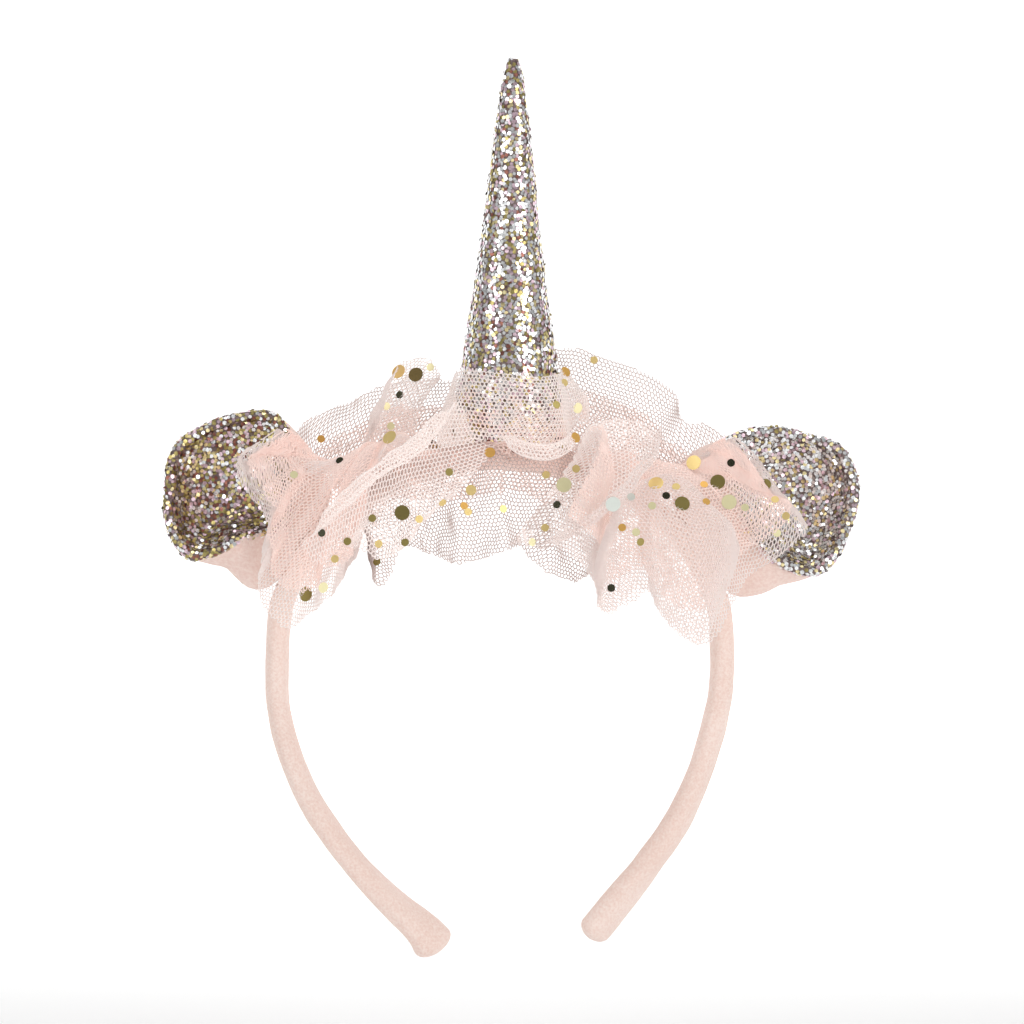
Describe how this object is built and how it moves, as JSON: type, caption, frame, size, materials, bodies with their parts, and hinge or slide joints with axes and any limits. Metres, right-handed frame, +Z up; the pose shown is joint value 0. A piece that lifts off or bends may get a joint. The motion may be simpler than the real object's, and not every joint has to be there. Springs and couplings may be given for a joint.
{
  "type": "unicorn horn headband",
  "caption": "Child's unicorn headband with a glitter horn, two glitter-lined ears and gathered spotted tulle on a velour-covered band.",
  "frame": {"origin": "underside of the band at the crown, where it sits on the head", "axes": "+Z up along the horn, -Y towards the front of the wearer, +X to the right as seen from the front"},
  "size_m": [0.1928, 0.0567, 0.2509],
  "materials": {
    "velour": "matt pale pink velour",
    "felt": "matt pale pink felt",
    "glitter": "silver, gold and mauve flake glitter on cloth",
    "tulle": "pale pink hexagonal net",
    "foil": "mirror foil dots in olive gold"
  },
  "bodies": {
    "root": {"headband": "velour", "horn": "glitter", "ear_shell_left": "felt", "ear_shell_right": "felt", "ear_lining_left": "glitter", "ear_lining_right": "glitter", "tulle_wing_left": "tulle", "tulle_wing_right": "tulle", "tulle_middle_frill": "tulle", "tulle_puff_left": "tulle", "tulle_back_frill": "tulle", "tulle_horn_collar": "tulle"}
  },
  "joints": []
}
